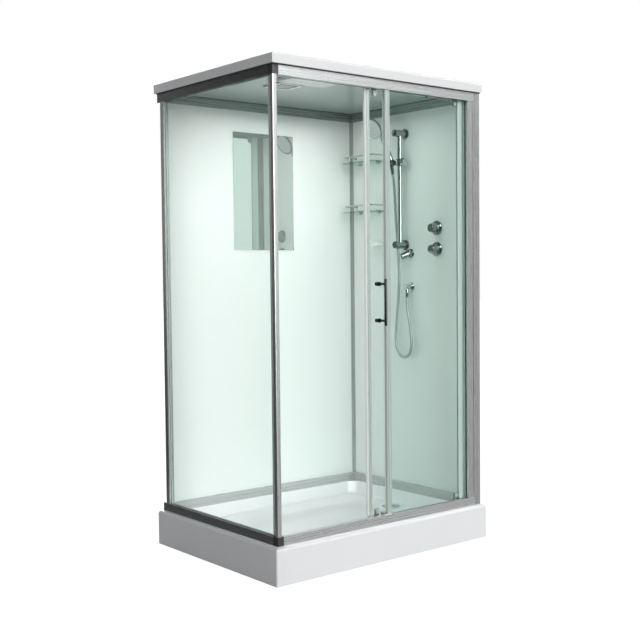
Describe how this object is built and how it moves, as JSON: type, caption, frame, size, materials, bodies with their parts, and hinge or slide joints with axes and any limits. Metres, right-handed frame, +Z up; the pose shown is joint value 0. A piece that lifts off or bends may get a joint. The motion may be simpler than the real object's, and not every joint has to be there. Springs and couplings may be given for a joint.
{
  "type": "shower cabin",
  "caption": "Rectangular glazed shower cabin with tray, roof, sliding door, riser rail with hand shower, mixer knobs, shelves, soap dish and mirror.",
  "frame": {"origin": "bottom centre of the tray, on the floor", "axes": "+Z up, the doorway faces -Y, the mixer wall is on +X"},
  "size_m": [1.2, 0.9, 2.06],
  "materials": {
    "acrylic_white": "gloss",
    "black_plastic": "matte",
    "clear_plastic_lamp": "frosted",
    "painted_steel": "painted",
    "zinc_steel": "zinc plated",
    "aluminium_bright": "bright anodised",
    "grey_plastic": "satin",
    "clear_glass": "clear, slightly green",
    "enamelled_glass": "pale enamelled back",
    "rubber_seal": "translucent grey",
    "chrome": "polished",
    "steel_carriage": "brushed",
    "brass_body": "raw",
    "wheel_plastic": "smooth",
    "spray_plate": "soft",
    "hose_sleeve": "silvered sleeve",
    "mirror_glass": "silvered"
  },
  "bodies": {
    "cabin": {"back_wall_panel": "enamelled_glass", "bottom_rail_front": "aluminium_bright", "bottom_rail_left": "aluminium_bright", "bottom_wall_rails": "aluminium_bright", "ceiling_light": "clear_plastic_lamp", "ceiling_panel": "acrylic_white", "corner_joints": "chrome", "corner_post": "aluminium_bright", "fan_frame": "black_plastic", "fan_grille": "acrylic_white", "fixed_edge_profile": "aluminium_bright", "fixed_glass": "clear_glass", "glazing_seals": "rubber_seal", "hose": "hose_sleeve", "levelling_feet": "zinc_steel", "lower_outlet": "chrome", "mirror": "mirror_glass", "mixer_body": "brass_body", "mixer_rosettes": "chrome", "panel_clips": "chrome", "rear_corner_profile": "aluminium_bright", "right_post": "aluminium_bright", "right_wall_panel": "enamelled_glass", "riser_bar": "chrome", "riser_brackets": "chrome", "roof_cap": "acrylic_white", "shelf_frames": "chrome", "shelf_glasses": "clear_glass", "side_glass": "clear_glass", "slot_fillers": "grey_plastic", "soap_dish": "acrylic_white", "top_rail_front": "aluminium_bright", "top_rail_left": "aluminium_bright", "top_wall_rails": "aluminium_bright", "tray": "acrylic_white", "tray_support_frame": "painted_steel", "wall_elbow": "chrome", "wall_profile_left": "aluminium_bright", "waste_cover": "chrome", "waste_flange": "chrome", "waste_trap": "black_plastic"},
    "door": {"door_glass": "clear_glass", "door_lead_profile": "aluminium_bright", "door_trail_profile": "aluminium_bright", "door_magnet_seal": "rubber_seal", "door_handle": "chrome", "roller_carriages": "steel_carriage"},
    "top_wheel_lead": {"top_wheel_lead": "wheel_plastic"},
    "top_wheel_trail": {"top_wheel_trail": "wheel_plastic"},
    "bottom_wheel_lead": {"bottom_wheel_lead": "wheel_plastic"},
    "bottom_wheel_trail": {"bottom_wheel_trail": "wheel_plastic"},
    "fan_rotor": {"fan_rotor": "black_plastic"},
    "slider": {"slider": "chrome"},
    "clamp_knob": {"clamp_knob": "chrome"},
    "handset": {"handset_holder": "chrome", "hand_shower": "chrome", "spray_face": "spray_plate", "hose_nut": "chrome"},
    "diverter_knob": {"diverter_knob": "chrome"},
    "temperature_knob": {"temperature_knob": "chrome"}
  },
  "joints": [
    {"name": "door_slide", "type": "slide", "parent": "cabin", "child": "door", "axis": [1, 0, 0], "range_m": [-0.479, 0]},
    {"name": "top_wheel_lead_spin", "type": "hinge", "parent": "door", "child": "top_wheel_lead", "pos_m": [-0.022, -0.377, 1.9983], "axis": [0, 1, 0], "continuous": true},
    {"name": "top_wheel_trail_spin", "type": "hinge", "parent": "door", "child": "top_wheel_trail", "pos_m": [0.46, -0.377, 1.9983], "axis": [0, 1, 0], "continuous": true},
    {"name": "bottom_wheel_lead_spin", "type": "hinge", "parent": "door", "child": "bottom_wheel_lead", "pos_m": [-0.022, -0.377, 0.1753], "axis": [0, 1, 0], "continuous": true},
    {"name": "bottom_wheel_trail_spin", "type": "hinge", "parent": "door", "child": "bottom_wheel_trail", "pos_m": [0.46, -0.377, 0.1753], "axis": [0, 1, 0], "continuous": true},
    {"name": "fan_spin", "type": "hinge", "parent": "cabin", "child": "fan_rotor", "pos_m": [-0.25, -0.07, 2.03], "axis": [0, 0, 1], "continuous": true},
    {"name": "slider_slide", "type": "slide", "parent": "cabin", "child": "slider", "axis": [0, 0, 1], "range_m": [-0.358, 0.04], "deforming": ["hose"]},
    {"name": "clamp_turn", "type": "hinge", "parent": "slider", "child": "clamp_knob", "pos_m": [0.503, -0.017, 1.742], "axis": [0, 1, 0], "range_deg": [-180, 0]},
    {"name": "holder_tilt", "type": "hinge", "parent": "slider", "child": "handset", "pos_m": [0.503, 0.034, 1.742], "axis": [0, 1, 0], "range_deg": [-20, 12]},
    {"name": "diverter_turn", "type": "hinge", "parent": "cabin", "child": "diverter_knob", "pos_m": [0.51, -0.2, 1.421], "axis": [1, 0, 0], "range_deg": [0, 120]},
    {"name": "temperature_turn", "type": "hinge", "parent": "cabin", "child": "temperature_knob", "pos_m": [0.51, -0.2, 1.322], "axis": [1, 0, 0], "range_deg": [-90, 90]}
  ],
  "couplings": [
    {"joint": "top_wheel_lead_spin", "follows": "door_slide", "rad_per_m": 111.11},
    {"joint": "top_wheel_trail_spin", "follows": "door_slide", "rad_per_m": 111.11},
    {"joint": "bottom_wheel_lead_spin", "follows": "door_slide", "rad_per_m": 111.11},
    {"joint": "bottom_wheel_trail_spin", "follows": "door_slide", "rad_per_m": 111.11}
  ]
}
